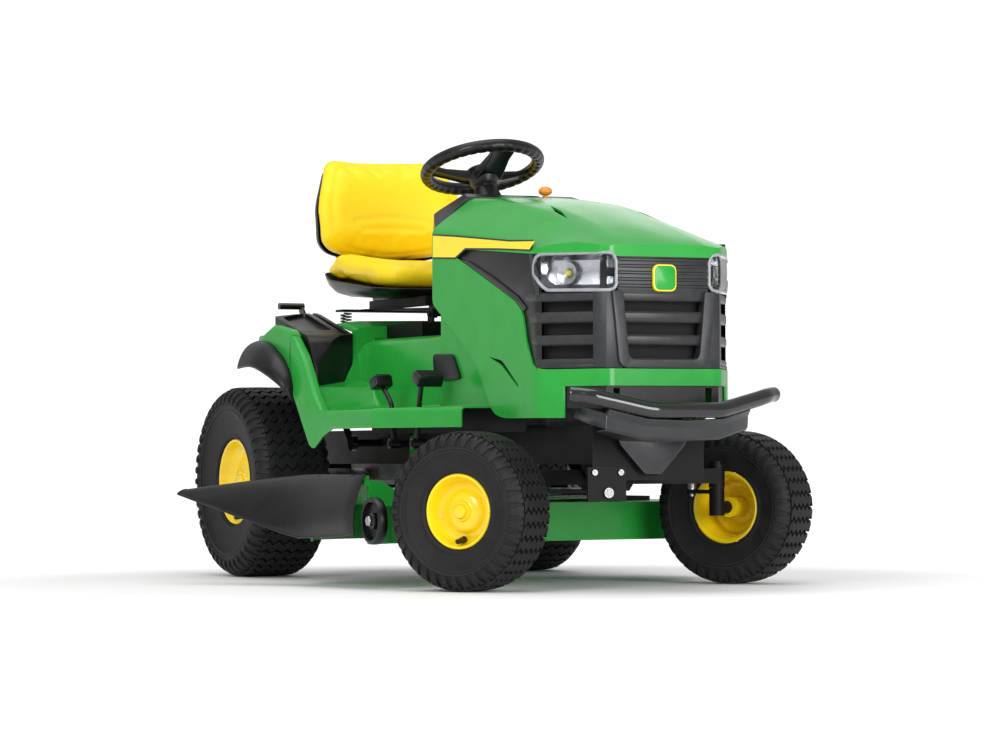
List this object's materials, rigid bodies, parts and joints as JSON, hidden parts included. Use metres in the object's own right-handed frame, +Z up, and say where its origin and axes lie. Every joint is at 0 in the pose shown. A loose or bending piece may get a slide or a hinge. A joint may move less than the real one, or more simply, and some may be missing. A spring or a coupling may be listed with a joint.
{
  "type": "riding lawn mower",
  "caption": "Ride-on lawn tractor with steered front wheels, opening hood, padded seat, foot pedals and a height-adjustable twin-blade mower deck with a side deflector.",
  "frame": {"origin": "bottom centre of the bounding box, on the ground", "axes": "+Z up, -Y forwards, +X to the machine's left; the longest extent is along Y and the shortest along Z"},
  "size_m": [1.3532, 1.9144, 1.1349],
  "materials": {
    "green_paint": "gloss",
    "green_plastic": "gloss",
    "yellow_rim": "gloss",
    "seat_vinyl": "satin",
    "black_plastic": "satin",
    "grey_plastic": "matte",
    "black_paint": "gloss",
    "bracket_paint": "satin",
    "tyre_rubber": "matte",
    "steel": "satin",
    "belt_rubber": "matte",
    "iron": "matte",
    "cast_alloy": "satin",
    "lens": "gloss",
    "orange_knob": "gloss",
    "yellow_plastic": "gloss",
    "tank_plastic": "satin"
  },
  "bodies": {
    "chassis": {"frame": "black_paint", "engine": "cast_alloy", "battery": "black_plastic", "transaxle": "cast_alloy", "fuel_tank": "tank_plastic", "fender_deck": "green_plastic", "fender_flares": "black_plastic", "side_consoles": "black_plastic", "dash_console": "black_plastic", "bumper_tube": "black_paint", "bumper_bracket": "bracket_paint", "steering_column": "black_paint", "drive_belt": "belt_rubber", "hardware": "steel", "seat_base": "black_paint", "seat_springs": "steel"},
    "hood": {"hood_shell": "green_plastic", "grille": "grey_plastic", "headlight_lenses": "lens", "front_valance": "black_plastic"},
    "front_axle": {"front_axle": "iron"},
    "knuckle_right": {"knuckle_right": "iron"},
    "knuckle_left": {"knuckle_left": "iron"},
    "drag_link_right": {"drag_link_right": "steel"},
    "drag_link_left": {"drag_link_left": "steel"},
    "sector": {"sector_gear": "steel"},
    "pinion": {"pinion_shaft": "steel"},
    "steering": {"steering_wheel": "black_plastic", "steering_shaft": "steel"},
    "front_wheel_right": {"front_tyre_right": "tyre_rubber", "front_rim_right": "yellow_rim"},
    "front_wheel_left": {"front_tyre_left": "tyre_rubber", "front_rim_left": "yellow_rim"},
    "rear_wheel_right": {"rear_tyre_right": "tyre_rubber", "rear_rim_right": "yellow_rim"},
    "rear_wheel_left": {"rear_tyre_left": "tyre_rubber", "rear_rim_left": "yellow_rim"},
    "deck": {"deck_shell": "green_paint", "belt_covers": "black_plastic", "deck_belt": "belt_rubber"},
    "gauge_right": {"gauge_wheel_right": "black_plastic"},
    "gauge_left": {"gauge_wheel_left": "black_plastic"},
    "deflector": {"deflector": "black_plastic"},
    "blade_right": {"blade_right": "steel"},
    "blade_left": {"blade_left": "steel"},
    "crank": {"crank_pulley": "steel"},
    "transaxle_input": {"transaxle_pulley": "steel"},
    "lift": {"lift_arms": "black_paint", "lift_lever": "black_paint"},
    "seat_pan": {"seat_pan": "black_paint"},
    "seat": {"seat_shell": "black_plastic", "seat_cushion": "seat_vinyl", "seat_back": "seat_vinyl"},
    "forward_pedal": {"forward_pedal": "black_plastic"},
    "reverse_pedal": {"reverse_pedal": "black_plastic"},
    "brake_pedal": {"brake_pedal": "black_plastic"},
    "throttle": {"throttle_lever": "orange_knob"},
    "pto": {"pto_knob": "yellow_plastic"},
    "key": {"ignition_key": "black_plastic"},
    "fuel_cap": {"fuel_cap": "black_plastic"}
  },
  "joints": [
    {"name": "axle_pivot", "type": "hinge", "parent": "chassis", "child": "front_axle", "pos_m": [0.11559, -0.53375, 0.268], "axis": [0, 1, 0], "range_deg": [-3, 3]},
    {"name": "steer_right", "type": "hinge", "parent": "front_axle", "child": "knuckle_right", "pos_m": [-0.19341, -0.53375, 0.268], "axis": [0, 0, 1], "range_deg": [-72, 8]},
    {"name": "steer_left", "type": "hinge", "parent": "front_axle", "child": "knuckle_left", "pos_m": [0.42459, -0.53375, 0.268], "axis": [0, 0, 1], "range_deg": [-72, 8]},
    {"name": "link_right", "type": "hinge", "parent": "knuckle_right", "child": "drag_link_right", "pos_m": [-0.2303, -0.47426, 0.235], "axis": [0, 0, 1], "range_deg": [-8, 72]},
    {"name": "link_left", "type": "hinge", "parent": "knuckle_left", "child": "drag_link_left", "pos_m": [0.3877, -0.47426, 0.235], "axis": [0, 0, 1], "range_deg": [-8, 72]},
    {"name": "sector_turn", "type": "hinge", "parent": "chassis", "child": "sector", "pos_m": [0.11559, -0.00775, 0.28], "axis": [0, 0, 1], "range_deg": [-72, 8]},
    {"name": "pinion_turn", "type": "hinge", "parent": "chassis", "child": "pinion", "pos_m": [0.11559, -0.07675, 0.3], "axis": [0, 0, 1], "range_deg": [-486, 54]},
    {"name": "steering_turn", "type": "hinge", "parent": "chassis", "child": "steering", "pos_m": [0.11559, 0.14325, 1.071], "axis": [0, 0.3206, 0.9472], "range_deg": [-486, 54]},
    {"name": "front_spin_right", "type": "hinge", "parent": "knuckle_right", "child": "front_wheel_right", "pos_m": [-0.275, -0.58434, 0.19], "axis": [0.8499, 0.527, 0], "continuous": true},
    {"name": "front_spin_left", "type": "hinge", "parent": "knuckle_left", "child": "front_wheel_left", "pos_m": [0.50618, -0.48316, 0.19], "axis": [0.8499, 0.527, 0], "continuous": true},
    {"name": "rear_spin_right", "type": "hinge", "parent": "chassis", "child": "rear_wheel_right", "pos_m": [-0.27741, 0.70325, 0.254], "axis": [1, 0, 0], "continuous": true},
    {"name": "rear_spin_left", "type": "hinge", "parent": "chassis", "child": "rear_wheel_left", "pos_m": [0.50859, 0.70325, 0.254], "axis": [1, 0, 0], "continuous": true},
    {"name": "hood_open", "type": "hinge", "parent": "chassis", "child": "hood", "pos_m": [0.11559, -0.77675, 0.51], "axis": [1, 0, 0], "range_deg": [0, 55]},
    {"name": "seat_tip", "type": "hinge", "parent": "chassis", "child": "seat_pan", "pos_m": [0.11559, 0.21325, 0.69], "axis": [1, 0, 0], "range_deg": [0, 35]},
    {"name": "seat_slide", "type": "slide", "parent": "seat_pan", "child": "seat", "axis": [0, 1, 0], "range_m": [-0.05, 0.05]},
    {"name": "deck_height", "type": "slide", "parent": "chassis", "child": "deck", "axis": [0, 0, 1], "range_m": [-0.076, 0]},
    {"name": "lift_turn", "type": "hinge", "parent": "chassis", "child": "lift", "pos_m": [0.11559, 0.37325, 0.355], "axis": [1, 0, 0], "range_deg": [0, 25.1]},
    {"name": "gauge_spin_right", "type": "hinge", "parent": "deck", "child": "gauge_right", "pos_m": [-0.43141, -0.37675, 0.166], "axis": [1, 0, 0], "continuous": true},
    {"name": "gauge_spin_left", "type": "hinge", "parent": "deck", "child": "gauge_left", "pos_m": [0.66259, -0.37675, 0.166], "axis": [1, 0, 0], "continuous": true},
    {"name": "deflector_swing", "type": "hinge", "parent": "deck", "child": "deflector", "pos_m": [-0.42041, -0.09675, 0.268], "axis": [0, 1, 0], "range_deg": [0, 60], "stiffness_Nm_per_rad": 3, "springref_deg": -34.38},
    {"name": "crank_spin", "type": "hinge", "parent": "chassis", "child": "crank", "pos_m": [0.11559, -0.35675, 0.3], "axis": [0, 0, 1], "continuous": true},
    {"name": "blade_spin_right", "type": "hinge", "parent": "deck", "child": "blade_right", "pos_m": [-0.14641, -0.00175, 0.2], "axis": [0, 0, 1], "continuous": true},
    {"name": "blade_spin_left", "type": "hinge", "parent": "deck", "child": "blade_left", "pos_m": [0.37759, -0.00175, 0.2], "axis": [0, 0, 1], "continuous": true},
    {"name": "transaxle_spin", "type": "hinge", "parent": "chassis", "child": "transaxle_input", "pos_m": [0.11559, 0.66325, 0.3], "axis": [0, 0, 1], "continuous": true},
    {"name": "forward_press", "type": "hinge", "parent": "chassis", "child": "forward_pedal", "pos_m": [-0.21241, -0.14875, 0.352], "axis": [1, 0, 0], "range_deg": [0, 12], "stiffness_Nm_per_rad": 8, "springref_deg": -14.32},
    {"name": "reverse_press", "type": "hinge", "parent": "chassis", "child": "reverse_pedal", "pos_m": [-0.21241, -0.01475, 0.352], "axis": [1, 0, 0], "range_deg": [-12, 0], "stiffness_Nm_per_rad": 8, "springref_deg": 14.32},
    {"name": "brake_press", "type": "hinge", "parent": "chassis", "child": "brake_pedal", "pos_m": [0.44359, -0.14875, 0.352], "axis": [1, 0, 0], "range_deg": [0, 15], "stiffness_Nm_per_rad": 8, "springref_deg": -14.32},
    {"name": "throttle_move", "type": "hinge", "parent": "chassis", "child": "throttle", "pos_m": [0.17759, -0.04475, 0.9], "axis": [1, 0, 0], "range_deg": [-28, 0]},
    {"name": "pto_pull", "type": "slide", "parent": "chassis", "child": "pto", "axis": [0, 0, 1], "range_m": [0, 0.02]},
    {"name": "key_turn", "type": "hinge", "parent": "chassis", "child": "key", "pos_m": [0.23159, 0.01325, 0.94], "axis": [0, 0, 1], "range_deg": [0, 90]},
    {"name": "cap_turn", "type": "hinge", "parent": "chassis", "child": "fuel_cap", "pos_m": [0.44559, 0.66325, 0.715], "axis": [0, 0, 1], "continuous": true}
  ],
  "couplings": [
    {"joint": "steer_left", "follows": "steer_right", "ratio": 1},
    {"joint": "link_right", "follows": "steer_right", "ratio": -1},
    {"joint": "link_left", "follows": "steer_right", "ratio": -1},
    {"joint": "sector_turn", "follows": "steer_right", "ratio": 1},
    {"joint": "pinion_turn", "follows": "steer_right", "ratio": 6.75},
    {"joint": "steering_turn", "follows": "steer_right", "ratio": 6.75},
    {"joint": "blade_spin_right", "follows": "crank_spin", "ratio": 0.90909},
    {"joint": "blade_spin_left", "follows": "crank_spin", "ratio": 0.90909},
    {"joint": "transaxle_spin", "follows": "crank_spin", "ratio": 0.74286},
    {"joint": "lift_turn", "follows": "deck_height", "rad_per_m": -5.741}
  ]
}
